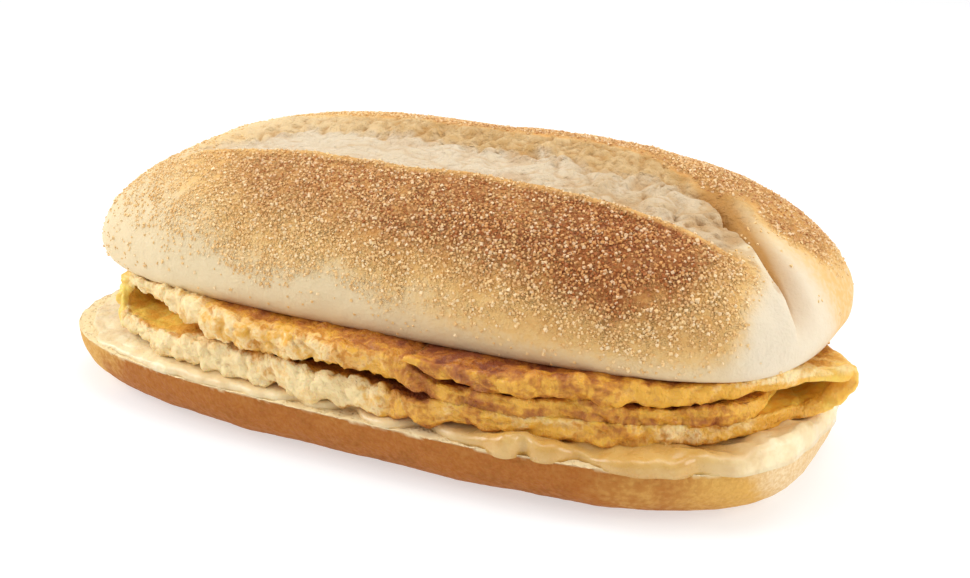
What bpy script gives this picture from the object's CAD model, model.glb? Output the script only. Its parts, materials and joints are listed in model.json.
"""A breakfast roll: a split roll dusted with semolina, filled with a folded omelette on a layer of sauce.

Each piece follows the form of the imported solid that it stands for, with the finer relief of the food.
"""

import functools
import json
import math

import bmesh
import bpy
from bpy.props import FloatProperty, FloatVectorProperty, IntProperty, PointerProperty
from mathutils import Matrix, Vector, noise

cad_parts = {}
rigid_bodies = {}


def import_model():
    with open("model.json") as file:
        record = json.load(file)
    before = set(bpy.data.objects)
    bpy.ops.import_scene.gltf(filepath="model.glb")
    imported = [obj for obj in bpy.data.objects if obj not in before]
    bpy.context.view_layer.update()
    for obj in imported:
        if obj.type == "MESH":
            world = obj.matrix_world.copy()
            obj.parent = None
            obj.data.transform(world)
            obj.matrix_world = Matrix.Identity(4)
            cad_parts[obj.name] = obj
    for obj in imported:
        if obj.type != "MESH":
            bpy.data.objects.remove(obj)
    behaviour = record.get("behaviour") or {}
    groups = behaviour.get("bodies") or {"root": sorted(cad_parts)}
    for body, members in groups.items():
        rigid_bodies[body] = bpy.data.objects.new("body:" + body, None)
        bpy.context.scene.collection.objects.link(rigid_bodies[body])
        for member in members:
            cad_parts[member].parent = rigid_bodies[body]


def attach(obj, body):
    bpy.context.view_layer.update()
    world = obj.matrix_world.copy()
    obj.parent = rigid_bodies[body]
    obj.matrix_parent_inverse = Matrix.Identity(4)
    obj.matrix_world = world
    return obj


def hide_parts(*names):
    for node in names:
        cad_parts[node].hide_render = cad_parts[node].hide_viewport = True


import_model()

bl_info = {
    "name": "Breakfast roll",
    "version": (1, 0, 0),
    "blender": (4, 5, 0),
    "location": "View3D > Sidebar > Breakfast roll",
    "description": "Builds a semolina-dusted roll with a folded omelette and sauce",
    "category": "Add Mesh",
}

MM = 0.001

# Shapes are worked out in millimetres, and made metres when their mesh is finished. A finish takes its
# patterns' sizes in millimetres too. Settings, grains and stage are in metres.

# The heel
HEEL_LENGTH = 155.0
HEEL_WIDTH = 72.5
HEEL_HEIGHT = 10.5
HEEL_TUCK = 9.5
HEEL_POWER = 3.1

# The crown
CROWN_LENGTH = 150.0
CROWN_WIDTH = 68.0
CROWN_CENTRE_X = 2.2
CROWN_CENTRE_Y = 5.0
CROWN_CUT = 24.3
CROWN_WIDEST = 28.0
CROWN_TUCK = 2.4
CROWN_POWER = 3.4
DOME_POWER = 1.7
FRONT_LOBE_RISE = 22.6
BACK_LOBE_RISE = 23.9
SHOULDER = 0.42
FOOT = 0.3
FRONT_SAG = 0.9

# The split along the crown and the crease down its right end
SPLIT_FRONT = -11.0
SPLIT_BACK = 6.5
SPLIT_LIP = 0.6
SPLIT_LEFT_END = -60.0
CREASE_START = 44.0
CREASE_END = 76.0
CREASE_DEPTH = 1.8
CREASE_WIDTH = 2.4
CREASE_LOWEST = 28.0

# Between these shares of its half width the crown has finer rows
FINE_ROWS = (-0.62, 0.5)

# Deep pits in the torn floor near the crease: each one's place along X and Y and its width
PITS = ((55.0, -4.5, 2.2), (60.0, -5.5, 2.0), (57.8, -1.5, 1.5))

# The omelette, one sheet folded in from both ends
OMELETTE_LEFT = -60.8
OMELETTE_RIGHT = 85.5
OMELETTE_MIDDLE = 9.0
OMELETTE_REACH = 35.0
OMELETTE_UNDERSIDE = 13.4
OMELETTE_TOP = 23.9
LEFT_FLAP_END = 70.0
RIGHT_FLAP_END = 14.0
LAYER_GAP = 0.4
FOLD_THICKNESS = 2.6
TIP_X = 82.0
TIP_REACH = 5.0
TIP_SLANT = 0.75
TIP_OVERHANG = 6.5
RAGGED_EDGE = 0.9
RIGHT_FLAP_SHARE = 0.14
RIGHT_FOLD_SHARE = 0.20
BOTTOM_SHARE = 0.55
LEFT_FOLD_SHARE = 0.61
JOINED_FROM = 14.0
JOINED_BY = 24.0

# The sauce
SAUCE_HALF_LENGTH = 73.2
SAUCE_HALF_WIDTH = 33.8
SAUCE_CENTRE_X = 1.2
SAUCE_UNDERSIDE = 10.8
SAUCE_TOP = 12.95

# Where the front rim of the sauce hangs over the heel, and where it draws back in a pocket: each one's
# place along X, its width and its size
DROOPS = ((8.0, 2.6, 0.6), (21.0, 3.4, 0.7), (30.0, 3.6, 0.7), (38.5, 3.0, 0.5), (52.0, 3.5, 0.5))
POCKETS = (
    (-10.7, 2.4, 1.8),
    (-0.5, 3.0, 3.0),
    (15.0, 3.2, 3.0),
    (34.4, 1.4, 1.2),
    (43.3, 3.0, 1.6),
    (62.0, 6.0, 1.2),
)

# How many cells each piece's block has along X, Y and Z
CROWN_CELLS = (300, 124, 32)
HEEL_CELLS = (300, 120, 34)
OMELETTE_CELLS = (660, 48, 12)
SAUCE_CELLS = (260, 120, 8)

# A corner of the block that lies farther out than this is on its side or top
SIDE = 0.999

# A length that is smaller counts as nothing
TINY = 1e-9

# How far apart the random seeds are for moves along X, Y and Z
AXIS_SEEDS = (61, 74, 89)

# Edges sharper than so many degrees show as edges. The egg and sauce are smooth all over.
CRUST_SHARP_ANGLE = 50
SMOOTH_ALL_OVER = 180

# Each kind of semolina: its share of the dusting, its size against a middling grain, its unbaked colour
GRAIN_KINDS = (
    ("bright", 0.11, 1.1, (0.90, 0.69, 0.40)),
    ("golden", 0.42, 1.0, (0.87, 0.61, 0.29)),
    ("toasted", 0.46, 0.9, (0.81, 0.52, 0.21)),
)
GRAIN_SHAPES = 6
SEEDS_APART = 20
FULL_TURN = 6.283

# The fine grains that are only drawn in the crust's finish
GRAIN_SPACING = 0.5

# The camera, as the photograph was taken
CAMERA_PLACE = (129.81 * MM, -228.20 * MM, 117.93 * MM)
CAMERA_TARGET = (10.89 * MM, 0.0, 24.29 * MM)
CAMERA_LENS = 53.5
SENSOR_WIDTH = 36.0
NEAREST_SEEN = 0.01

# The soft lights: each one's setting, place and width
LIGHTS = (
    ("right", (0.62, 0.02, 0.32), 0.45),
    ("left", (-0.55, -0.2, 0.38), 0.45),
    ("top", (0.0, 0.15, 0.7), 0.6),
)
LIT_PLACE = (0.0, 0.0, 0.02)
FLOOR_REACH = 3.0
FLOOR_GLOW = 0.55


def colour_choice(name, description, colour):
    kept = {"subtype": "COLOR", "min": 0.0, "max": 1.0}
    return FloatVectorProperty(name=name, description=description, default=colour, **kept)


def length_choice(name, description, length, longest):
    kept = {"unit": "LENGTH", "min": 0.0, "max": longest}
    return FloatProperty(name=name, description=description, default=length, **kept)


def amount_choice(name, description, amount, most):
    return FloatProperty(name=name, description=description, default=amount, min=0.0, max=most)


class CrownSettings(bpy.types.PropertyGroup):
    split_depth: length_choice("Split depth", "How deep the split along the top is", 2.4 * MM, 0.006)
    pale: colour_choice("Pale skin", "Skin of the lower flanks and ends", (0.80, 0.65, 0.405))
    golden: colour_choice("Golden crust", "Lightly baked crust", (0.82, 0.52, 0.195))
    deep: colour_choice("Deep golden crust", "Crust around the browned top", (0.68, 0.34, 0.09))
    brown: colour_choice("Brown crust", "Well baked crust on top", (0.38, 0.13, 0.025))
    crumb: colour_choice("Torn crumb", "Floor of the split", (0.68, 0.56, 0.40))


class SemolinaSettings(bpy.types.PropertyGroup):
    size: length_choice("Grain size", "Width of a middling grain", 0.46 * MM, 0.002)
    density: amount_choice("Grains per square millimetre", "How many lie on the thickest dusting", 5.4, 9.0)
    seed: IntProperty(name="Seed", description="Changes where the grains lie", default=4, min=0)
    bright: colour_choice("Bright grains", "The palest grains", (0.80, 0.54, 0.31))
    golden: colour_choice("Golden grains", "The middling grains", (0.66, 0.32, 0.10))
    toasted: colour_choice("Toasted grains", "The darkest grains", (0.42, 0.13, 0.026))


class HeelSettings(bpy.types.PropertyGroup):
    crust: colour_choice("Crust", "Baked crust along the side", (0.42, 0.132, 0.02))
    golden: colour_choice("Golden end", "Lighter crust at the ends", (0.74, 0.42, 0.10))
    crumb: colour_choice("Crumb", "Cut face and its rim", (0.90, 0.74, 0.44))


class OmeletteSettings(bpy.types.PropertyGroup):
    egg: colour_choice("Egg", "Yellow egg at the edges", (0.84, 0.44, 0.05))
    curd: colour_choice("Pale curd", "Soft pale curds", (0.98, 0.75, 0.385))
    browned: colour_choice("Browned egg", "Fried faces of the sheet", (0.44, 0.14, 0.017))


class SauceSettings(bpy.types.PropertyGroup):
    colour: colour_choice("Sauce", "Pale cream sauce", (0.64, 0.36, 0.085))
    gloss: amount_choice("Roughness", "Low is wet and high is dull", 0.2, 1.0)


class StageSettings(bpy.types.PropertyGroup):
    floor: colour_choice("Floor", "Colour of the floor", (0.5, 0.5, 0.505))
    fill: amount_choice("Fill light", "Light from all round", 0.45, 10.0)
    right: amount_choice("Right light", "Soft light on the right", 2.15, 50.0)
    left: amount_choice("Left light", "Soft light on the left", 3.0, 50.0)
    top: amount_choice("Top light", "Soft light from above", 2.7, 50.0)


class RollSettings(bpy.types.PropertyGroup):
    crown: PointerProperty(type=CrownSettings, name="Crown", description="Upper half of the roll")
    semolina: PointerProperty(type=SemolinaSettings, name="Semolina", description="Grains on the crown")
    heel: PointerProperty(type=HeelSettings, name="Heel", description="Lower half of the roll")
    omelette: PointerProperty(type=OmeletteSettings, name="Omelette", description="The folded egg")
    sauce: PointerProperty(type=SauceSettings, name="Sauce", description="Sauce on the heel")
    stage: PointerProperty(type=StageSettings, name="Stage", description="Floor and lights")


# Shaping helpers


def step(low, high, value):
    """0 up to low, 1 from high on, and a smooth rise between them."""
    share = min(1, max(0, (value - low) / (high - low)))
    return share * share * (3 - 2 * share)


def blend(first, second, share):
    return first + (second - first) * share


def ramp(first, second, low, high, value):
    """Goes from the first to the second as the value goes from low to high."""
    return blend(first, second, step(low, high, value))


def bell(middle, width, value):
    """1 at the middle, falling away over about a width to each side."""
    return math.exp(-(((value - middle) / width) ** 2))


def waviness(point, wavelength, seed=0):
    """A smooth random value from about -1 to 1, which changes over one wavelength."""
    return noise.noise(Vector(point) / wavelength + Vector((seed, seed * 0.7, seed * 1.3)))


def billows(point, size, seed=0):
    """Soft bulges of about one size: 0 in the creases between them and about 1 on their tops."""
    return min(1.2, 2.6 * abs(waviness(point, size, seed)))


def warped(point, reach, wavelength, seed=0):
    """The point moved a little at random, so that patterns laid on it lose their regular look."""
    moves = Vector([waviness(point, wavelength, seed + apart) for apart in AXIS_SEEDS])
    return Vector(point) + moves * reach


def gridded_block(cells, open_underneath=False):
    """A cube from -1 to 1 whose sides are divided into so many cells along X, Y and Z."""
    block = bmesh.new()
    bmesh.ops.create_cube(block, size=2.0)
    if open_underneath:
        underside = [face for face in block.faces if face.normal.z < -0.9]
        bmesh.ops.delete(block, geom=underside, context="FACES_ONLY")
    for axis, count in enumerate(cells):
        along = [e for e in block.edges if abs((e.verts[0].co - e.verts[1].co)[axis]) > 0.1]
        bmesh.ops.subdivide_edges(block, edges=along, cuts=count - 1, use_grid_fill=True)
    return block


def add_rows(block, low, high, cuts):
    """Divides the block's rows between two values of Y into finer ones."""
    across = []
    for edge in block.edges:
        ends = sorted(vert.co.y for vert in edge.verts)
        if ends[1] - ends[0] > 1e-4 and ends[0] > low and ends[1] < high:
            across.append(edge)
    bmesh.ops.subdivide_edges(block, edges=across, cuts=cuts, use_grid_fill=True)


def close_underneath(block):
    """Fills the open underside with one flat face."""
    rim = [edge for edge in block.edges if edge.is_boundary]
    bmesh.ops.edgeloop_fill(block, edges=rim)
    bmesh.ops.recalc_face_normals(block, faces=block.faces)
    block.normal_update()


def add_layers(block, *names):
    """Named values at each point of the block, which its finish reads."""
    return {name: block.verts.layers.float.new(name) for name in names}


def from_edge(corner):
    """0 in the middle of the block's top or bottom and 1 on its sides."""
    return max(abs(corner.x), abs(corner.y))


def on_superellipse(corner, closer, half_length, half_width, power):
    """Draws a corner of the block closer in and carries it to the same place in a superellipse."""
    x = corner.x * closer
    y = corner.y * closer
    edge = max(abs(x), abs(y))
    if edge < TINY:
        return 0, 0
    stretch = edge / (abs(x) ** power + abs(y) ** power) ** (1 / power)
    return half_length * stretch * x, half_width * stretch * y


def finish_piece(block, name, finish, sharp_angle):
    """Makes the named piece, in metres, from the block, smooth but for edges sharper than the angle."""
    bmesh.ops.scale(block, vec=(MM, MM, MM), verts=block.verts)
    mesh = bpy.data.meshes.new(name)
    block.to_mesh(mesh)
    block.free()
    mesh.shade_smooth()
    mesh.set_sharp_from_angle(angle=math.radians(sharp_angle))
    return add_piece(mesh, name, finish)


def add_piece(mesh, name, finish):
    mesh.materials.clear()
    mesh.materials.append(finish)
    piece = bpy.data.objects.new(name, mesh)
    bpy.context.scene.collection.objects.link(piece)
    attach(piece, "root")
    return piece


# Finishes


class Term:
    """A node's socket that can be used in sums, which add Math nodes."""

    def __init__(self, nodes, socket):
        self.nodes = nodes
        self.socket = socket

    def sum_of(self, operation, first, second):
        return self.nodes.node("ShaderNodeMath", {"operation": operation}, {0: first, 1: second})

    def __add__(self, other):
        return self.sum_of("ADD", self, other)

    def __radd__(self, other):
        return self.sum_of("ADD", other, self)

    def __sub__(self, other):
        return self.sum_of("SUBTRACT", self, other)

    def __rsub__(self, other):
        return self.sum_of("SUBTRACT", other, self)

    def __mul__(self, other):
        return self.sum_of("MULTIPLY", self, other)

    def __rmul__(self, other):
        return self.sum_of("MULTIPLY", other, self)


class Nodes:
    """A node tree, with one method that adds its nodes."""

    def __init__(self, tree):
        self.tree = tree

    def node(self, kind, settings=None, sockets=None, output=0):
        """Adds a node with its settings made first, then its sockets, and returns one of its outputs."""
        added = self.tree.nodes.new(kind)
        for key, value in (settings or {}).items():
            setattr(added, key, value)
        for key, value in (sockets or {}).items():
            self.join(value, added.inputs[key])
        return Term(self, added.outputs[output]) if added.outputs else None

    def join(self, value, socket):
        """Links a term to a socket, or sets the socket to a value or colour."""
        if isinstance(value, Term):
            self.tree.links.new(value.socket, socket)
        elif socket.type == "RGBA":
            socket.default_value = (*value[:3], 1)
        else:
            socket.default_value = value


class Finish(Nodes):
    """A material made of nodes, with its shader at hand."""

    def __init__(self, name):
        self.material = bpy.data.materials.new(name)
        self.material.use_nodes = True
        super().__init__(self.material.node_tree)
        self.shader = self.tree.nodes["Principled BSDF"]
        self.place = self.node("ShaderNodeTexCoord", output="Object")

    def attribute(self, name):
        return self.node("ShaderNodeAttribute", {"attribute_name": name}, output="Fac")

    def grain(self, wavelength, detail=2):
        """Noise from 0 to 1 whose patches are about one wavelength across."""
        sockets = {"Vector": self.place, "Scale": 1 / (wavelength * MM), "Detail": detail}
        return self.node("ShaderNodeTexNoise", {}, sockets)

    def patches(self, wavelength, detail=2):
        """Noise whose patches reach right down to 0 and up to 1."""
        return self.step(0.34, 0.66, self.grain(wavelength, detail))

    def cells(self, spacing, output="Distance"):
        """Cells: 0 at each one's middle, rising to its edge, or each one's own random tone."""
        sockets = {"Vector": self.place, "Scale": 1 / (spacing * MM)}
        return self.node("ShaderNodeTexVoronoi", {}, sockets, output)

    def step(self, low, high, value):
        """0 up to low, 1 from high on, and a smooth rise between them."""
        settings = {"interpolation_type": "SMOOTHSTEP"}
        return self.node("ShaderNodeMapRange", settings, {0: value, 1: low, 2: high})

    def mix(self, share, first, second):
        """Goes from the first colour to the second."""
        return self.node("ShaderNodeMix", {"data_type": "RGBA"}, {0: share, 6: first, 7: second}, 2)

    def bump(self, height, depth, strength=1):
        """Feeds a height from 0 to 1 to the shader's normal, at a depth."""
        sockets = {"Height": height, "Distance": depth * MM, "Strength": strength}
        self.set("Normal", self.node("ShaderNodeBump", {}, sockets))

    def set(self, socket, value):
        self.join(value, self.shader.inputs[socket])

    def soften(self, weight, radius, scale):
        """Lets light spread below the surface, as in bread and egg."""
        self.set("Subsurface Weight", weight)
        self.set("Subsurface Radius", radius)
        self.set("Subsurface Scale", scale * MM)


def crust_finish(look):
    """Baked skin from pale to brown under fine grains, with torn crumb in the split."""
    finish = Finish("crown_crust")
    browned = finish.attribute("browned")
    dusting = finish.attribute("dusting")
    torn = finish.attribute("torn")
    wall = finish.attribute("wall")
    crease = finish.attribute("crease")
    patches = finish.patches(6, 4)
    specks = finish.patches(1.1, 3)
    baked = browned + (patches - 0.5) * 0.28 * finish.step(0.2, 0.5, browned)
    baked = baked + (specks - 0.5) * 0.3 * browned
    x = finish.node("ShaderNodeSeparateXYZ", {}, {0: finish.place})
    pale = finish.mix(finish.step(61 * MM, 72 * MM, x), look.pale, (0.79, 0.68, 0.51))
    skin = finish.mix(finish.step(0, 0.26, baked), pale, look.golden)
    skin = finish.mix(finish.step(0.16, 0.52, baked), skin, look.deep)
    skin = finish.mix(finish.step(0.48, 1.08, baked), skin, look.brown)
    tone = finish.cells(GRAIN_SPACING, "Color")
    gaps = finish.step(0.2, 0.62, finish.cells(GRAIN_SPACING))
    lit = finish.mix(browned, (0.88, 0.64, 0.30), (0.72, 0.38, 0.13))
    dark = finish.mix(finish.step(0.1, 0.9, browned), (0.74, 0.45, 0.15), (0.22, 0.052, 0.011))
    skin = finish.mix(finish.step(0.5, 0.8, tone) * dusting * 0.6, skin, lit)
    skin = finish.mix(finish.step(0.5, 0.2, tone) * dusting * 0.55, skin, dark)
    skin = finish.mix(gaps * dusting * 0.4, skin, dark)
    knobs = finish.patches(1.6, 4)
    golden = finish.step(0.08, 0.4, browned) * (0.2 + patches * 0.3 + knobs * 0.35)
    golden = golden + finish.step(36 * MM, 54 * MM, x) * 0.32
    skin = finish.mix(wall * 0.95, skin, finish.mix(golden, (0.74, 0.54, 0.29), (0.46, 0.245, 0.06)))
    crumb = finish.mix(knobs * 0.4, look.crumb, (0.64, 0.50, 0.31))
    tan = finish.step(18 * MM, 34 * MM, x) * (0.2 + patches * 0.4)
    tan = tan + finish.step(48 * MM, 58 * MM, x) * 0.15
    crumb = finish.mix(tan, crumb, (0.54, 0.355, 0.165))
    bread = finish.mix(torn, skin, crumb)
    finish.set("Base Color", finish.mix(crease, bread, (0.46, 0.22, 0.05)))
    finish.set("Roughness", 0.55 + specks * 0.2 + torn * 0.2)
    grained = (1 - gaps) * (0.4 + tone) * dusting * 0.9
    skin_height = grained + finish.grain(0.5, 3) * 0.3 + finish.grain(1.6, 3) * 0.5
    crumb_height = knobs * 0.7 + finish.grain(0.7, 3) * 0.5
    finish.bump(skin_height * (1 - torn) + crumb_height * (torn + wall), 0.4, 1)
    finish.soften(0.05, (1, 0.6, 0.35), 0.8)
    finish.set("Specular IOR Level", 0.3)
    return finish.material


def semolina_finish(name, colour, baked_colour):
    """Grains of one kind, each of its own tone, deeper in colour where the crust is browner."""
    finish = Finish(name)
    browned = finish.attribute("browned")
    tone = finish.attribute("tone")
    baked = finish.step(0.2, 1.05, browned * (0.6 + tone * 0.9))
    finish.set("Base Color", finish.mix(baked, colour, baked_colour))
    finish.set("Roughness", 0.35 + tone * 0.3)
    finish.set("Specular IOR Level", 0.4)
    return finish.material


def heel_finish(look):
    """Mottled brown crust, golden and then pale at the ends, with a pale crumb rim."""
    finish = Finish("heel_crust")
    browned = finish.attribute("browned")
    crumb = finish.attribute("crumb")
    patches = finish.patches(7, 5)
    specks = finish.patches(1.1, 4)
    dots = finish.patches(0.55, 2)
    uneven = (patches - 0.5) * 0.24 + (specks - 0.5) * 0.2
    baked = browned + uneven * finish.step(-0.2, 0.9, browned)
    skin = finish.mix(finish.step(0.2, 0.9, baked), look.golden, look.crust)
    skin = finish.mix(finish.step(0.14, -0.12, baked), skin, (0.93, 0.79, 0.54))
    skin = finish.mix(finish.step(0.9, 1.5, baked) * 0.8, skin, (0.19, 0.05, 0.006))
    skin = finish.mix(dots * 0.3, skin, (0.56, 0.26, 0.06))
    open_crumb = finish.mix(finish.patches(1.3, 3), look.crumb, (0.88, 0.70, 0.40))
    finish.set("Base Color", finish.mix(crumb, skin, open_crumb))
    finish.set("Roughness", 0.55 + specks * 0.25 + crumb * 0.1)
    pits = finish.step(0, 0.5, finish.cells(0.9))
    fine = finish.grain(0.6, 4) * 0.8 + specks * 0.35
    finish.bump(fine * (1 - crumb) + pits * crumb, 0.3, 0.9)
    finish.set("Specular IOR Level", 0.16)
    return finish.material


def egg_finish(look):
    """Moist yellow egg with pale curds and browned patches."""
    finish = Finish("egg")
    browned = finish.attribute("browned")
    pale = finish.attribute("pale")
    hollow = finish.attribute("hollow")
    patches = finish.patches(3, 4)
    fine = finish.patches(1.1, 3)
    lightness = pale + (patches - 0.5) * 0.55 + (fine - 0.5) * 0.35
    curds = finish.mix(finish.step(0.1, 0.9, lightness), look.egg, look.curd)
    curds = finish.mix(finish.step(0.5, 1, hollow) * (0.7 - pale * 0.55), curds, (0.76, 0.38, 0.045))
    mottles = (patches - 0.5) * 0.5 + (fine - 0.5) * 0.35 + (finish.patches(6.5, 3) - 0.5) * 0.4
    fried = browned + mottles * (1 - pale * 0.5)
    gold = finish.mix(finish.step(0.2, 0.55, fried), curds, (0.67, 0.29, 0.028))
    egg = finish.mix(finish.step(0.45, 0.95, fried), gold, look.browned)
    egg = finish.mix(finish.step(0.9, 1.4, fried) * 0.9, egg, (0.20, 0.035, 0.006))
    yellow = finish.attribute("yellow")
    rich = finish.mix(patches * 0.65, (1, 0.73, 0.14), (0.94, 0.42, 0.03))
    stripes = finish.step(0.56, 0.72, finish.grain(3.2, 3))
    rich = finish.mix(stripes * 0.35, rich, (0.55, 0.18, 0.02))
    finish.set("Base Color", finish.mix(yellow * 0.95, egg, rich))
    finish.set("Roughness", 0.3 + patches * 0.3)
    pits = finish.step(0, 0.5, finish.cells(1))
    relief = finish.patches(1, 4) * 0.6 + pits * 0.3 + finish.grain(0.35, 2) * 0.3
    finish.bump(relief * (1 - yellow * 0.6), 0.3, 1)
    finish.soften(0.25, (1, 0.6, 0.25), 1)
    finish.set("Specular IOR Level", 0.45)
    return finish.material


def sauce_finish(look):
    """Glossy pale cream sauce, thinner and paler over the left end."""
    finish = Finish("sauce")
    patches = finish.patches(4, 3)
    thin = finish.attribute("thin")
    cream = finish.mix(patches * 0.6, look.colour, (0.76, 0.51, 0.18))
    finish.set("Base Color", finish.mix(thin * (0.65 + patches * 0.35), cream, (0.95, 0.80, 0.50)))
    finish.set("Coat Weight", 0.4)
    finish.set("Coat Roughness", 0.08)
    finish.set("Roughness", look.gloss + finish.patches(1.5, 2) * 0.15 + thin * 0.25)
    finish.bump(finish.grain(1.6, 3) + thin * finish.patches(2.2, 3) * 0.8, 0.3, 0.7)
    finish.soften(0.2, (1, 0.7, 0.35), 1)
    finish.set("Specular IOR Level", 0.5)
    return finish.material


# The crown


def dome_radius(share):
    """How far out the dome's surface is at a share of its rise."""
    return (1 - share**DOME_POWER) ** (1 / CROWN_POWER)


def dome_share(radius):
    """The share of its rise that the dome has at a distance out from its middle."""
    return (1 - radius**CROWN_POWER) ** (1 / DOME_POWER)


def crown_point(corner):
    """Where a point of the block lies on the crown, before the split and the crust's relief."""
    edge = from_edge(corner)
    level = (corner.z + 1) / 2
    radius = edge
    share = 0
    inset = CROWN_TUCK
    z = CROWN_CUT
    if corner.z > SIDE:
        radius = dome_radius(SHOULDER) * (1 - (1 - edge) ** 1.25)
        share = dome_share(radius)
        inset = 0
        z = CROWN_WIDEST
    elif edge > SIDE and level > FOOT:
        share = SHOULDER * (level - FOOT) / (1 - FOOT)
        radius = dome_radius(share)
        inset = 0
        z = CROWN_WIDEST
    elif edge > SIDE:
        turn = math.pi / 2 * level / FOOT
        inset = CROWN_TUCK * (1 - math.sin(turn))
        z = blend(CROWN_CUT, CROWN_WIDEST, 1 - math.cos(turn))
    closer = radius / edge if edge else 0
    half_length = CROWN_LENGTH / 2 - inset
    half_width = CROWN_WIDTH / 2 - inset
    x, y = on_superellipse(corner, closer, half_length, half_width, CROWN_POWER)
    y += CROWN_CENTRE_Y
    rise = ramp(FRONT_LOBE_RISE, BACK_LOBE_RISE, -8, 16, y)
    return Vector((x + CROWN_CENTRE_X, y, z + rise * share))


def crest_line(x):
    """Where the back lobe's dusted crest begins, above the bare wall of the split."""
    line = ramp(14.5, 8, 38, 53, x)
    return ramp(line, 2.8, 57, 67, x) + 1.1 * max(0, x - 68)


def crease_line(x):
    """Where the crease runs down the right end."""
    return ramp(6.5, -9, 48, 70.5, x) - 0.6 * max(0, x - 70)


def split_at(point, split_depth):
    """The split at a point of the crown: depth, torn floor, back wall, creases and lifted edge."""
    x, y, z = point
    along = (x, 0, 0)
    rough = step(-20, 45, x)
    in_crease = step(CREASE_START, 62, x)
    narrowing = step(CREASE_START, CREASE_END, x)
    front = SPLIT_FRONT + 0.45 * waviness(along, 11, 31) + 0.3 * waviness(along, 3, 32)
    back = blend(SPLIT_BACK, SPLIT_FRONT + CREASE_WIDTH, narrowing)
    back += 1.6 * waviness(along, 12, 33) * (1 - narrowing)
    back = ramp(back, front + 5, -34, -58, x)
    across = (y - front) / (back - front)
    inside = step(0, 0.05, across) * step(1.6, 0.75, across)
    lip = step(-0.12, -0.01, across) * step(0.03, -0.01, across)

    bent = warped(point, 2, 6, 7)
    bent.x /= blend(2.6, 1, rough)
    knobs = billows(bent, 7, 3)
    knuckles = billows(bent, 3.3, 4)
    small = waviness(warped(point, 0.5, 1.5), 1.5, 5)
    holes = step(0.42, 0.15, noise.voronoi(bent / 1.9)[0][0])
    holes *= step(0.05, 0.3, waviness(bent, 3.5, 8) + 0.25 * in_crease)
    crumb = blend(0.3, 0.9, rough) * (0.5 - knobs) + blend(0.2, 0.5, rough) * (0.5 - knuckles)
    crumb += blend(0.1, 0.8, rough) * holes - 0.14 * small
    pits = max(bell(pit_x, size, bent.x) * bell(pit_y, size, bent.y) for pit_x, pit_y, size in PITS)

    ragged = across + 0.12 * waviness(point, 3, 15) + 0.05 * waviness(point, 1.2, 16)
    torn = step(0.015, 0.05, across) * step(1.12, 0.94, ragged)
    bumps = billows(point, 4.2, 9) + 0.5 * billows(point, 2, 10)
    above = y - crest_line(x) + 1.5 * bumps - 1.2
    wall = step(0.9, 1.05, ragged) * step(1.5, -1.5, above) * step(66, 56, x)
    floor = split_depth * inside * (1 + 0.35 * waviness(point, 5, 5))
    floor += crumb * torn * inside + 0.9 * (0.8 - bumps) * wall

    beside = y + 0.5 * waviness(along, 4, 18) - crease_line(x)
    broad = step(-1.2, 0.6, beside) * step(7, 1.2, beside)
    groove = step(-0.7, 0, beside) * step(2.4, 0.2, beside) * step(48, 54, x) * step(77, 71, x)
    overlap = step(-5, -1.5, beside) * step(-0.2, -0.9, beside) * step(57, 63, x)
    short = step(65, 60, x + 3 * waviness(point, 4, 19))
    valley = blend(floor - SPLIT_LIP * lip, 0.7 * CREASE_DEPTH * broad - 0.5 * overlap, in_crease)
    valley += 1.3 * groove + (0.9 * crumb + 0.5) * torn * short * in_crease + 1.1 * pits * torn

    left_end = x + 3 * waviness(point, 5, 34) - 0.5 * abs(y - front - 3)
    fade = step(SPLIT_LEFT_END, SPLIT_LEFT_END + 14, left_end)
    fade *= step(CREASE_LOWEST, CREASE_LOWEST + 8, z)

    creases = blend(0.5, 1, rough) * step(0.35, 0, min(knobs, 1.3 * knuckles))
    fading = step(64, 75, x)
    reach = blend(8, 3.5, fading)
    baked_groove = step(-0.9, -0.1, beside) * step(reach, 0.3 * reach, beside)
    baked_groove *= blend(1.1, 0.8, fading) * step(47, 53, x) * step(78, 71, x)
    shaded = blend(0.95, 0.4, fading) * step(-1.2, 0.6, beside) * step(9, 2.5, beside) * in_crease
    hollow = max(0.45 * creases * torn, 0.6 * step(0.6, 0.15, bumps) * wall)
    hollow = max(hollow, 0.6 * max(holes, pits) * torn, baked_groove, shaded)
    return valley * fade, torn * fade * short, wall * fade, hollow * fade, lip * fade


def crust_relief(point):
    """The uneven rise and fall of the baked crust."""
    return 0.7 * waviness(point, 22, 1) + 0.3 * waviness(point, 8, 2)


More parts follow.
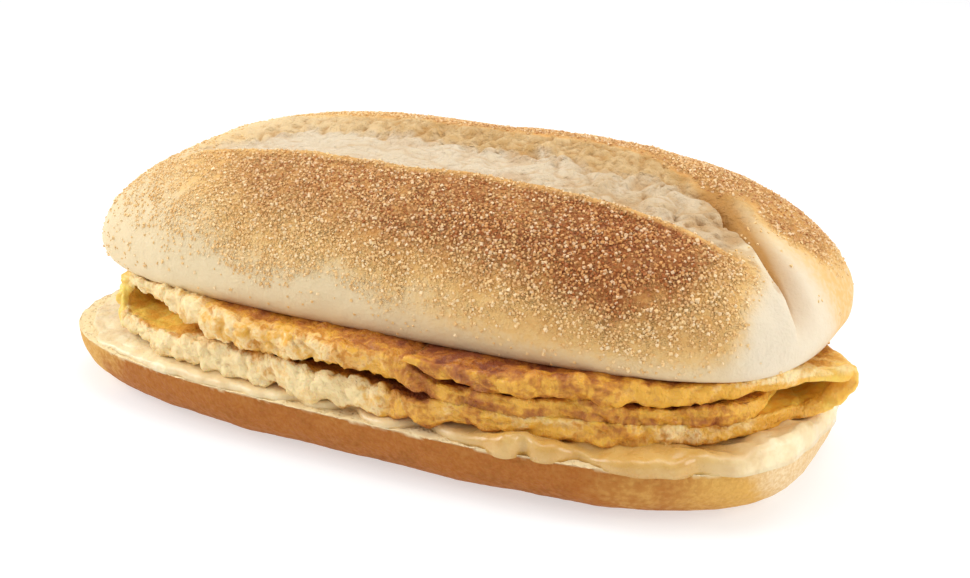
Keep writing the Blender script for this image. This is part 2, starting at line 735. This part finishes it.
def browning_at(point):
    """How well baked the crown's crust is, and how thickly the semolina lies on it."""
    x, y, z = point
    uneven = 3 * waviness(point, 16, 41) + 1.5 * waviness(point, 5, 42)
    behind = step(-6, 8, y)
    loose = step(50, 60, x)
    past_crest = y - crest_line(x) + (0.6 + 0.6 * loose) * uneven
    on_crest = step(-1.5 - loose, 2.5 + loose, past_crest)

    front_end = step(69.5, 62.5, x + 0.6 * uneven)
    front_end *= ramp(1, step(-8.5, -12, y), 54, 60, x)
    darkest = 0.5 * bell(46, 9, x) + 0.2 * bell(-28, 18, x) * step(37, 46, z)
    low = 32.5 - 2.5 * step(-36, -12, x) - step(-5, 12, x) - 1.5 * step(33, 48, x)
    front = ramp(0.8 * step(-75, 25, x) + darkest, 0.45, 54, 64, x) * step(low, low + 16, z + uneven)
    front = max(front, 0.34 * step(-10, 45, x) * step(24, 33, z)) * front_end
    front_dust = front_end * ramp(0.5, 1, -70, 0, x) * step(low - 2, low + 9, z + uneven)

    low = ramp(27, 33, 55, 72, x)
    back = 0.5 * step(-60, 0, x) + 0.04 * step(40, 56, x)
    back *= ramp(1, on_crest, 52, 62, x) * step(low, low + 6, z + uneven)
    back = max(0.1 + 0.1 * step(60, 70, x), back)
    back_dust = on_crest * step(80, 75, x) * ramp(0.5, 1, -50, 10, x)
    back_dust *= step(low, low + 4, z + uneven) * blend(1, 0.6, loose)

    patch = step(42, 50, x) * step(66, 60, x)
    stray = 0.03 + 0.13 * patch + 0.05 * step(0.1, 0.5, waviness(point, 14, 43))
    stray *= ramp(1, 0.15, 60, 66, x) * (1 - 0.8 * behind)
    return blend(front, back, behind) + 0.02, max(blend(front_dust, back_dust, behind), stray)


def make_crown(look):
    block = gridded_block(CROWN_CELLS, open_underneath=True)
    add_rows(block, *FINE_ROWS, 1)
    for vert in block.verts:
        vert.co = crown_point(vert.co)
    close_underneath(block)
    layers = add_layers(block, "browned", "torn", "wall", "crease", "dusting")
    for vert in block.verts:
        place = vert.co.copy()
        above_cut = step(CROWN_CUT, CROWN_WIDEST, place.z)
        depth, torn, wall, crease, lip = split_at(place, look.split_depth / MM)
        browned, dusting = browning_at(place)
        fine = 0.1 * waviness(place, 2.4, 8) * (1 - torn)
        vert.co = place + vert.normal * ((crust_relief(place) + fine) * above_cut - depth)
        in_front = step(-8, -20, place.y)
        vert.co.z -= FRONT_SAG * in_front * step(CROWN_CUT + 10, CROWN_CUT, place.z)
        clumps = 1 + 0.9 * waviness(place, 2.6, 44) + 0.4 * waviness(place, 12, 45)
        bare = max(0, 1 - 1.5 * torn) * max(0, 1 - 1.1 * wall) * (1 - 0.6 * lip)
        vert[layers["browned"]] = blend(browned, min(browned, 0.36), lip) * (1 - 0.3 * wall)
        vert[layers["torn"]] = torn
        vert[layers["wall"]] = wall
        vert[layers["crease"]] = crease
        vert[layers["dusting"]] = dusting * clumps * bare * above_cut
    crown = finish_piece(block, "crown_crust", crust_finish(look), CRUST_SHARP_ANGLE)
    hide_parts("crown")


# The semolina


def make_grain_shapes():
    """A few angular grains, one unit across, to scatter."""
    shapes = bpy.data.collections.new("grain_shapes")
    for number in range(GRAIN_SHAPES):
        block = bmesh.new()
        bmesh.ops.create_cube(block, size=0.72)
        for vert in block.verts:
            vert.co *= 1 + 0.5 * waviness(vert.co, 0.3, 10 + number)
        mesh = bpy.data.meshes.new("grain_shape")
        block.to_mesh(mesh)
        block.free()
        shapes.objects.link(bpy.data.objects.new("grain_shape", mesh))
    return shapes


class Scatter(Nodes):
    """A geometry node tree that sets grains on a surface."""

    def __init__(self, name):
        super().__init__(bpy.data.node_groups.new(name, "GeometryNodeTree"))
        for way in ("INPUT", "OUTPUT"):
            self.tree.interface.new_socket(name="Geometry", in_out=way, socket_type="NodeSocketGeometry")

    def random(self, kind, low, high, seed):
        """A random value for each grain. The node has a pair of sockets for each kind of value."""
        order = ("FLOAT_VECTOR", "FLOAT", "INT").index(kind)
        sockets = {2 * order: low, 2 * order + 1: high, "Seed": seed}
        return self.node("FunctionNodeRandomValue", {"data_type": kind}, sockets, order)


def scatter_grains(surface, kind, look, seed, shapes):
    """Scatters one kind of grain over the crown, and makes the grains one piece."""
    tint, share, spread, colour = kind
    name = "semolina_" + tint
    size = look.size * spread
    scatter = Scatter(name)
    dusting = scatter.node("GeometryNodeInputNamedAttribute", {"data_type": "FLOAT"}, {"Name": "dusting"})
    points = scatter.node(
        "GeometryNodeDistributePointsOnFaces",
        {"distribute_method": "POISSON"},
        {
            "Mesh": scatter.node("NodeGroupInput"),
            "Distance Min": 0.75 * size,
            "Density Max": look.density * share / MM / MM,
            "Density Factor": dusting,
            "Seed": seed,
        },
    )
    sockets = {"Collection": shapes, "Separate Children": True, "Reset Children": True}
    grains = scatter.node("GeometryNodeCollectionInfo", {}, sockets)
    width = scatter.random("FLOAT", 0.65 * size, 1.4 * size, seed + 1)
    stretch = scatter.random("FLOAT_VECTOR", (0.75, 0.75, 0.75), (1.25, 1.25, 1.25), seed + 2)
    turned = (FULL_TURN, FULL_TURN, FULL_TURN)
    scaled = scatter.node("ShaderNodeVectorMath", {"operation": "SCALE"}, {0: stretch, "Scale": width})
    placed = scatter.node(
        "GeometryNodeInstanceOnPoints",
        {},
        {
            "Points": points,
            "Instance": grains,
            "Pick Instance": True,
            "Instance Index": scatter.random("INT", 0, GRAIN_SHAPES - 1, seed + 4),
            "Rotation": scatter.random("FLOAT_VECTOR", (0, 0, 0), turned, seed + 3),
            "Scale": scaled,
        },
    )
    toned = scatter.node(
        "GeometryNodeStoreNamedAttribute",
        {"data_type": "FLOAT", "domain": "INSTANCE"},
        {"Geometry": placed, "Name": "tone", "Value": scatter.random("FLOAT", 0, 1, seed + 5)},
    )
    realized = scatter.node("GeometryNodeRealizeInstances", {}, {0: toned})
    scatter.node("NodeGroupOutput", {}, {0: realized})
    carrier = bpy.data.objects.new(name + "_carrier", surface.data)
    bpy.context.scene.collection.objects.link(carrier)
    carrier.modifiers.new("scatter", "NODES").node_group = scatter.tree
    depsgraph = bpy.context.evaluated_depsgraph_get()
    mesh = bpy.data.meshes.new_from_object(carrier.evaluated_get(depsgraph))
    mesh.name = name
    bpy.data.objects.remove(carrier)
    piece = add_piece(mesh, name, semolina_finish(name, colour, getattr(look, tint)))


# The heel


def heel_point(corner):
    """Where a point of the block lies on the heel."""
    turn = math.pi / 4 * (1 - corner.z)
    inset = HEEL_TUCK * (1 - max(0, math.cos(turn)) ** 0.8)
    edge = from_edge(corner)
    closer = (1 - (1 - edge) ** 1.6) / edge if corner.z > SIDE and edge else 1
    x, y = on_superellipse(corner, closer, HEEL_LENGTH / 2 - inset, HEEL_WIDTH / 2 - inset, HEEL_POWER)
    return Vector((x, y, HEEL_HEIGHT * (1 - math.sin(turn))))


def make_heel(look):
    block = gridded_block(HEEL_CELLS, open_underneath=True)
    layers = add_layers(block, "browned", "crumb", "height")
    for vert in block.verts:
        corner = vert.co.copy()
        place = heel_point(corner)
        edge = from_edge(corner)
        level = (corner.z + 1) / 2
        on_top = corner.z > SIDE
        crumb_line = 0.972 + 0.03 * waviness(place, 5, 14) + 0.02 * waviness(place, 1.1, 15)
        crumb = 1 if on_top else step(crumb_line, crumb_line + 0.02, level)
        right = step(42, 77, place.x + 6 * waviness(place, 12, 16) + 0.15 * (place.y + 20))
        left = step(-46, -66, place.x + 5 * waviness(place, 8, 17))
        height = 0
        if on_top:
            ragged = 0.3 * waviness(place, 1.6, 18) + 0.3 * waviness(place, 4, 19)
            height = (ragged - 0.25) * step(0.5, 0.8, edge)
        elif edge > SIDE:
            belly = math.sin(math.pi * level) ** 0.7
            height = 0.4 * waviness(place, 14, 3) + 0.22 * waviness(place, 5, 20)
            height += 0.07 * waviness(place, 1.2, 21)
            height = height * belly + 0.15 * waviness(place, 1.3, 22) * crumb
        vert[layers["browned"]] = (1 - right) * (1 - 0.65 * left) * blend(1.2, 0.9, level)
        vert[layers["crumb"]] = crumb
        vert[layers["height"]] = height
        vert.co = place
    close_underneath(block)
    for vert in block.verts:
        vert.co += vert.normal * vert[layers["height"]]
    heel = finish_piece(block, "heel_crust", heel_finish(look), CRUST_SHARP_ANGLE)
    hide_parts("heel")


# The omelette


def bottom_thickness(x):
    thick = ramp(2.3, 4.3, -56, -30, x)
    thick = ramp(thick, 3.1, -4, 14, x)
    return ramp(thick, FOLD_THICKNESS, 66, 76, x)


def left_flap_faces(x):
    """Heights of the left flap's two faces: under the crown, then dipping below the right flap."""
    covered = OMELETTE_UNDERSIDE + bottom_thickness(x) + LAYER_GAP
    under = OMELETTE_TOP - FOLD_THICKNESS
    under = ramp(under, 18.7, -58, -30, x)
    under = ramp(under, 19.3, -24, 6, x)
    under = ramp(under, covered, 8, 20, x)
    over = ramp(OMELETTE_TOP, covered + 2.8, 11, 21, x)
    return under, over


def right_flap_faces(x):
    thick = ramp(OMELETTE_TOP - left_flap_faces(x)[1], 3.9, 20, 24, x)
    thick = ramp(thick, FOLD_THICKNESS + LAYER_GAP, 50, 74, x)
    return OMELETTE_TOP - thick + LAYER_GAP, OMELETTE_TOP


def flap_section(x, faces):
    """The middle line's height and the sheet's thickness at x, of a flap with these two faces."""
    under, over = faces(x)
    slope = (sum(faces(x + 0.5)) - sum(faces(x - 0.5))) / 2
    return x, (under + over) / 2, (over - under) / math.hypot(1, slope)


def fold_turn(side, turn):
    """A point of a fold, side -1 the left one and 1 the right: turn is 0 at its top, 1 at its bottom."""
    radius = (OMELETTE_TOP - OMELETTE_UNDERSIDE - FOLD_THICKNESS) / 2
    outer = OMELETTE_LEFT if side < 0 else OMELETTE_RIGHT
    centre_x = outer - side * (radius + FOLD_THICKNESS / 2)
    angle = math.pi / 2 - math.pi * turn
    x = centre_x + side * radius * math.cos(angle)
    if side > 0:
        x += TIP_OVERHANG / 2 * (math.sin(angle) - 1)
    return x, (OMELETTE_TOP + OMELETTE_UNDERSIDE) / 2 + radius * math.sin(angle), FOLD_THICKNESS


@functools.lru_cache(maxsize=None)
def sheet_section(share):
    """The folded sheet's middle line at a share of its length: its x, height and thickness."""
    if share < RIGHT_FLAP_SHARE:
        x = blend(RIGHT_FLAP_END, fold_turn(1, 0)[0], share / RIGHT_FLAP_SHARE)
        return flap_section(x, right_flap_faces)
    if share < RIGHT_FOLD_SHARE:
        return fold_turn(1, (share - RIGHT_FLAP_SHARE) / (RIGHT_FOLD_SHARE - RIGHT_FLAP_SHARE))
    if share < BOTTOM_SHARE:
        along = (share - RIGHT_FOLD_SHARE) / (BOTTOM_SHARE - RIGHT_FOLD_SHARE)
        x = blend(fold_turn(1, 1)[0], fold_turn(-1, 1)[0], along)
        thick = bottom_thickness(x)
        return x, OMELETTE_UNDERSIDE + thick / 2, thick
    if share < LEFT_FOLD_SHARE:
        return fold_turn(-1, (LEFT_FOLD_SHARE - share) / (LEFT_FOLD_SHARE - BOTTOM_SHARE))
    along = (share - LEFT_FOLD_SHARE) / (1 - LEFT_FOLD_SHARE)
    return flap_section(blend(fold_turn(-1, 0)[0], LEFT_FLAP_END, along), left_flap_faces)


def outline_reach(x, right_length, right_power):
    """How far out the sheet's edge is. The outline's right end has its own length and roundness."""
    length = right_length if x > OMELETTE_MIDDLE else 74
    power = right_power if x > OMELETTE_MIDDLE else 3.3
    offset = min(1, abs(x - OMELETTE_MIDDLE) / length)
    return OMELETTE_REACH * (1 - offset**power) ** (1 / power)


def sheet_edges(x, share):
    """The sheet's front and back edges, as values of Y, with the covered layers a little narrower."""
    front = outline_reach(x, 67, 2.2)
    if x > TIP_X - 10:
        front = max(front, TIP_REACH + TIP_SLANT * (TIP_X - x))
    in_right_fold = step(RIGHT_FLAP_SHARE, RIGHT_FOLD_SHARE, share)
    front -= 4 * in_right_fold * step(68, 76, x)
    back = outline_reach(x, 83, 3.3)
    in_left_flap = step(BOTTOM_SHARE, LEFT_FOLD_SHARE + 0.05, share)
    narrower = in_left_flap * ramp(4, 0.2, -48, -24, x)
    return narrower - front, back - narrower


def omelette_point(corner):
    """Where a point of the block, taken as a flat sheet, lies on the folded omelette."""
    share = round((corner.x + 1) / 2, 6)
    x, z, thick = sheet_section(share)
    before = sheet_section(max(0, share - 0.002))
    after = sheet_section(min(1, share + 0.002))
    slope_x = after[0] - before[0]
    slope_z = after[1] - before[1]
    side = math.copysign(1, corner.y)
    near_edge = step(0.4, 0.95, abs(corner.y))
    beside = (x, 50 * side, z)
    flat_beside = (x, 50 * side, 0)

    joined = step(JOINED_FROM, JOINED_BY, x) if share > RIGHT_FOLD_SHARE and corner.z < 0 else 0
    touching = joined
    if (share > LEFT_FOLD_SHARE and corner.z > 0) or (share < RIGHT_FLAP_SHARE and corner.z < 0):
        touching = step(22, 38, x) * step(74, 66, x)
    offset = corner.z * (thick + 0.8 * touching * near_edge) / 2 / math.hypot(slope_x, slope_z)
    if abs(corner.x) > SIDE:
        offset *= 0.45

    front, back = sheet_edges(x, share)
    rounding = min(0.4 * thick, 1.6)
    ragged = RAGGED_EDGE * waviness(beside, 9, 4) + 0.6 * waviness(beside, 3.6, 13)
    reach = (back - front) / 2 + ragged * near_edge
    if abs(corner.y) > SIDE:
        reach -= (1 - 0.85 * joined) * rounding * (1 - math.sqrt(max(0, 1 - corner.z * corner.z)))
    else:
        reach = (reach - rounding) * (1 - (1 - abs(corner.y)) ** 1.7)
    y = (front + back) / 2 + side * reach

    in_flap = max(step(0.13, 0.10, share), step(0.62, 0.66, share))
    in_bottom = step(0.22, 0.26, share) * step(0.54, 0.50, share)
    sag = waviness(flat_beside, 13, 23)
    droop = ramp(ramp(0.4, 1.7, -48, -34, x), 0.4, 14, 26, x)
    droop = ramp(droop, 1.6, 42, 58, x) * (corner.z + 1) / 2
    droop *= step(76, 64, x) * (0.55 + 0.7 * billows(flat_beside, 9, 25))
    parted = step(-32, -44, x)
    hang = in_flap * (-0.4 + 0.6 * sag + 0.9 * parted)
    hang += in_bottom * (0.3 * sag - 0.2 - droop - 0.8 * parted)
    z += near_edge * hang
    x += 1.2 * step(75, 84, x) - TIP_SLANT * step(40, TIP_X, x) * max(0, y + TIP_REACH)
    return Vector((x - slope_z * offset, y, z + slope_x * offset))


def egg_tones(corner, place):
    """How browned, pale and rich yellow the egg is at a point, and how near to the sheet's rim it is."""
    share = (corner.x + 1) / 2
    x = place.x
    from_middle = abs(corner.y)
    from_centre = abs(corner.z)
    rim = step(0.8, 0.98, from_middle)
    outside = corner.z > 0
    upwards = corner.z if share < 0.17 or share > 0.58 else -corner.z
    on_face = max(step(0.75, 1, from_centre) * (1 - rim), rim * step(0.6, 1.15, upwards))
    on_face = max(on_face, 0.9 * rim * step(0.55, 1.1, -upwards) * step(-38, -20, x))
    on_face *= ramp(1, ramp(0.5, 0.78, -14, 12, x), 0.66, 0.84, from_middle)
    left = step(-22, -44, x)
    below = step(0.2, 0.24, share) * step(0.56, 0.52, share)
    curdy = below * bell(-3, 13, x)
    right = step(5, 35, x) * (1 - below * step(52, 62, x))
    in_layers = share > RIGHT_FOLD_SHARE
    inner = corner.z < 0 or (not in_layers and x < 14)
    joined = step(JOINED_FROM, JOINED_BY, x) if in_layers and inner else 0

    browned = on_face * (0.95 if outside else 0.75) + (0.04 + 0.34 * right) * (1 - on_face)
    browned -= left * (0.65 if outside else 0.45) * on_face
    browned += 0.26 * bell(22, 11, x) - 0.2 * curdy - 0.6 * step(64, 74, x)
    if inner or (share > 0.58 and x > 16):
        deep = step(0.6, 1, from_centre) * step(0.98, 0.9, from_middle) * (1 - joined)
        browned += 0.7 * deep * step(-30, -12, x) * step(66, 58, x)
    browned -= 0.4 * joined * on_face + 0.12 * joined * below - 0.25 * joined * (1 - below)
    browned -= 0.3 * (1 - below) * bell(-9, 8, x) * on_face
    browned += 0.3 * (1 - below) * bell(8, 7, x) * rim
    upper_rim = rim * step(RIGHT_FOLD_SHARE, RIGHT_FLAP_SHARE, share)
    browned += upper_rim * (0.16 * step(8, 16, x) - 0.3 * step(38, 52, x))
    browned += 0.35 * waviness(place, 8, 51)

    upper = step(0.17, 0.13, share) * step(-0.4, 0.4, corner.z)
    pale = 0.06 + (0.4 + 0.3 * below) * step(21, -4, x) + 0.24 * step(0, -45, x)
    pale += (0.2 - 0.25 * below) * step(-30, -44, x) + 0.25 * curdy
    pale += below * (0.4 * step(54, 60, x) * step(76, 70, x) + 0.2 * step(JOINED_FROM, JOINED_BY, x))
    pale += 0.75 * upper * step(60, 74, x)

    inside = max(step(-34, -44, x), step(60, 70, x)) * (1 - rim) if corner.z < 0 else 0
    strip = step(-55.5, -59, x) * max(rim, 0.8)
    return browned, pale, max(strip, inside, step(73, 80, x) * (0.8 - 0.6 * upper)), rim


def make_omelette(look):
    block = gridded_block(OMELETTE_CELLS)
    layers = add_layers(block, "browned", "pale", "hollow", "yellow", "rim")
    for vert in block.verts:
        place = omelette_point(vert.co)
        tones = egg_tones(vert.co, place)
        for name, tone in zip(("browned", "pale", "yellow", "rim"), tones):
            vert[layers[name]] = tone
        vert.co = place
    bmesh.ops.recalc_face_normals(block, faces=block.faces)
    block.normal_update()
    moves = []
    for vert in block.verts:
        place = vert.co
        rim = vert[layers["rim"]]
        right = step(-5, 30, place.x)
        bent = warped(place, 1.2, 4, 2)
        bent.x *= blend(1, 0.6, right)
        curds = billows(bent, 4.6, 6)
        bits = billows(bent, 2.3, 7)
        crumbs = billows(place, 1.2, 8)
        height = blend(0.45, 0.9, rim) * (curds - 0.55) + blend(0.3, 0.75, rim) * (bits - 0.55)
        height += 0.26 * (crumbs - 0.5)
        height *= blend(0.8, 0.7, right) * ramp(1, 0.5, 60, 74, place.x)
        height += 0.5 * waviness(place, 7, 24)
        vert[layers["hollow"]] = 1 - 0.5 * curds - 0.5 * bits
        moves.append(vert.normal * height)
    for vert, move in zip(block.verts, moves):
        vert.co += move
        vert.co.z += step(79, 82.5, vert.co.x) * step(20, 24, vert.co.z)
    omelette = finish_piece(block, "omelette_sheet", egg_finish(look), SMOOTH_ALL_OVER)
    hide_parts("omelette")


# The sauce


def along_rim(x, places):
    return sum(size * bell(middle, width, x) for middle, width, size in places)


def sauce_point(corner):
    """Where a point of the block lies in the sauce, which is widest at its foot."""
    edge = from_edge(corner)
    level = (corner.z + 1) / 2
    closer = (1 - (1 - edge) ** 1.5) / edge if edge else 1
    x, y = on_superellipse(corner, closer, SAUCE_HALF_LENGTH, SAUCE_HALF_WIDTH, HEEL_POWER)
    flat = (x, y, 0)
    near_rim = step(0.55, 1, edge)
    in_front = step(-10, -26, y)
    thick = step(20, 32, x)
    left_end = step(-36, -50, x)
    right_end = step(62, 72, x)

    ridges = waviness((x * 0.35, y, 0), 4.5, 9) + 0.6 * waviness((x * 0.6, y, 0), 2.2, 10)
    raised = blend(-1.2, 0.3, thick) - 0.5 * left_end + 0.7 * right_end
    raised += blend(0.5, 1.8, thick) * ridges + 0.5 * waviness(flat, 8, 26)
    z = blend(SAUCE_UNDERSIDE - 0.7, SAUCE_TOP + raised * near_rim, math.sqrt(level))

    lobes = blend(1.2, 1.7, thick) * waviness(flat, 10, 2) + 0.9 * waviness(flat, 4, 12)
    lobes += 1.3 * thick - along_rim(x, POCKETS) * in_front + 1.5 * left_end * waviness(flat, 7, 27)
    lobes = lobes * ramp(1, 0.4, 66, 76, x) + 1.4 * step(46, 62, x) + 1.2 * left_end
    bulge = 1.6 * math.sqrt(1 - level * level) if edge > SIDE else 0
    outwards = Vector((x / SAUCE_HALF_LENGTH**2, y / SAUCE_HALF_WIDTH**2, 0)).normalized()
    place = Vector((SAUCE_CENTRE_X + x, y, z)) + outwards * (lobes * near_rim + bulge)
    hanging = along_rim(x, DROOPS) * in_front * step(0.86, 1, edge)
    place.y -= hanging
    place.z -= 0.3 * hanging
    return place


def make_sauce(look):
    block = gridded_block(SAUCE_CELLS, open_underneath=True)
    for vert in block.verts:
        vert.co = sauce_point(vert.co)
    close_underneath(block)
    thin = add_layers(block, "thin")["thin"]
    for vert in block.verts:
        x = vert.co.x
        left = 0.75 * step(30, 16, x) + 0.25 * step(-30, -44, x)
        vert[thin] = max(left, 0.95 * step(63, 75, x))
    shell = [vert for vert in block.verts if vert.co.z > SAUCE_UNDERSIDE - 0.5]
    axes = {"use_axis_x": True, "use_axis_y": True, "use_axis_z": True}
    for _ in range(2):
        bmesh.ops.smooth_vert(block, verts=shell, factor=0.5, **axes)
    sauce = finish_piece(block, "sauce_layer", sauce_finish(look), SMOOTH_ALL_OVER)
    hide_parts("sauce")


# The stage


def add_light(name, place, size, power):
    light = bpy.data.lights.new(name, "AREA")
    light.shape = "SQUARE"
    light.size = size
    light.energy = power
    lamp = bpy.data.objects.new(name, light)
    lamp.location = place
    lamp.rotation_euler = (Vector(LIT_PLACE) - Vector(place)).to_track_quat("-Z", "Y").to_euler()
    bpy.context.scene.collection.objects.link(lamp)


def make_stage(look):
    scene = bpy.context.scene
    block = bmesh.new()
    bmesh.ops.create_grid(block, x_segments=2, y_segments=2, size=FLOOR_REACH)
    mesh = bpy.data.meshes.new("floor")
    block.to_mesh(mesh)
    block.free()
    finish = Finish("floor")
    finish.set("Base Color", finish.mix(finish.grain(60) * 0.1, look.floor, (0.5, 0.5, 0.5)))
    finish.set("Roughness", 0.8)
    finish.set("Specular IOR Level", 0.2)
    finish.set("Emission Color", (1, 1, 1))
    finish.set("Emission Strength", FLOOR_GLOW)
    mesh.materials.append(finish.material)
    floor = bpy.data.objects.new("floor", mesh)
    scene.collection.objects.link(floor)
    world = bpy.data.worlds.new("studio")
    world.use_nodes = True
    background = world.node_tree.nodes["Background"]
    background.inputs["Color"].default_value = (1, 1, 1, 1)
    background.inputs["Strength"].default_value = look.fill
    scene.world = world
    for name, place, size in LIGHTS:
        add_light(name + "_light", place, size, getattr(look, name))
    camera = bpy.data.cameras.new("camera")
    camera.sensor_fit = "HORIZONTAL"
    camera.sensor_width = SENSOR_WIDTH
    camera.lens = CAMERA_LENS
    camera.clip_start = NEAREST_SEEN
    viewpoint = bpy.data.objects.new("camera", camera)
    viewpoint.location = CAMERA_PLACE
    aim = Vector(CAMERA_TARGET) - Vector(CAMERA_PLACE)
    viewpoint.rotation_euler = aim.to_track_quat("-Z", "Y").to_euler()
    scene.collection.objects.link(viewpoint)
    scene.camera = viewpoint
    scene.view_settings.view_transform = "Standard"
    scene.cycles.use_denoising = True


# Operators and panel


class BREAKFASTROLL_OT_crown(bpy.types.Operator):
    """Adds the crown, the upper half of the roll, with its split and crease"""

    bl_idname = "breakfast_roll.crown"
    bl_label = "Add crown"

    def execute(self, context):
        make_crown(context.scene.breakfast_roll.crown)
        return {"FINISHED"}


class BREAKFASTROLL_OT_semolina(bpy.types.Operator):
    """Scatters grains of semolina over the crown"""

    bl_idname = "breakfast_roll.semolina"
    bl_label = "Add semolina"

    def execute(self, context):
        look = context.scene.breakfast_roll.semolina
        crown = bpy.data.objects.get("crown_crust")
        if crown is None:
            raise RuntimeError("Add the crown before its semolina")
        shapes = make_grain_shapes()
        for number, kind in enumerate(GRAIN_KINDS):
            scatter_grains(crown, kind, look, look.seed + SEEDS_APART * number, shapes)
        for shape in list(shapes.objects):
            bpy.data.objects.remove(shape)
        bpy.data.collections.remove(shapes)
        return {"FINISHED"}


class BREAKFASTROLL_OT_heel(bpy.types.Operator):
    """Adds the heel, the lower half of the roll"""

    bl_idname = "breakfast_roll.heel"
    bl_label = "Add heel"

    def execute(self, context):
        make_heel(context.scene.breakfast_roll.heel)
        return {"FINISHED"}


class BREAKFASTROLL_OT_omelette(bpy.types.Operator):
    """Adds the folded omelette"""

    bl_idname = "breakfast_roll.omelette"
    bl_label = "Add omelette"

    def execute(self, context):
        make_omelette(context.scene.breakfast_roll.omelette)
        return {"FINISHED"}


class BREAKFASTROLL_OT_sauce(bpy.types.Operator):
    """Adds the sauce spread over the heel"""

    bl_idname = "breakfast_roll.sauce"
    bl_label = "Add sauce"

    def execute(self, context):
        make_sauce(context.scene.breakfast_roll.sauce)
        return {"FINISHED"}


class BREAKFASTROLL_OT_stage(bpy.types.Operator):
    """Adds the floor, the soft lights and the camera"""

    bl_idname = "breakfast_roll.stage"
    bl_label = "Add stage"

    def execute(self, context):
        make_stage(context.scene.breakfast_roll.stage)
        return {"FINISHED"}


class BREAKFASTROLL_PT_sidebar(bpy.types.Panel):
    """Lists the roll's pieces with their sizes and colours"""

    bl_idname = "BREAKFASTROLL_PT_sidebar"
    bl_label = "Breakfast roll"
    bl_space_type = "VIEW_3D"
    bl_region_type = "UI"
    bl_category = "Breakfast roll"

    def draw(self, context):
        settings = context.scene.breakfast_roll
        for part in ("crown", "semolina", "heel", "omelette", "sauce", "stage"):
            box = self.layout.box()
            box.operator("breakfast_roll." + part)
            look = getattr(settings, part)
            for key in look.__annotations__:
                box.prop(look, key)


CLASSES = (
    CrownSettings,
    SemolinaSettings,
    HeelSettings,
    OmeletteSettings,
    SauceSettings,
    StageSettings,
    RollSettings,
    BREAKFASTROLL_OT_crown,
    BREAKFASTROLL_OT_semolina,
    BREAKFASTROLL_OT_heel,
    BREAKFASTROLL_OT_omelette,
    BREAKFASTROLL_OT_sauce,
    BREAKFASTROLL_OT_stage,
    BREAKFASTROLL_PT_sidebar,
)


def register():
    for item in CLASSES:
        bpy.utils.register_class(item)
    bpy.types.Scene.breakfast_roll = PointerProperty(type=RollSettings)


def unregister():
    del bpy.types.Scene.breakfast_roll
    for item in reversed(CLASSES):
        bpy.utils.unregister_class(item)


def main():
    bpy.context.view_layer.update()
    register()
    bpy.ops.breakfast_roll.crown()
    bpy.ops.breakfast_roll.semolina()
    bpy.ops.breakfast_roll.heel()
    bpy.ops.breakfast_roll.omelette()
    bpy.ops.breakfast_roll.sauce()
    bpy.ops.breakfast_roll.stage()


if __name__ == "__main__":
    main()
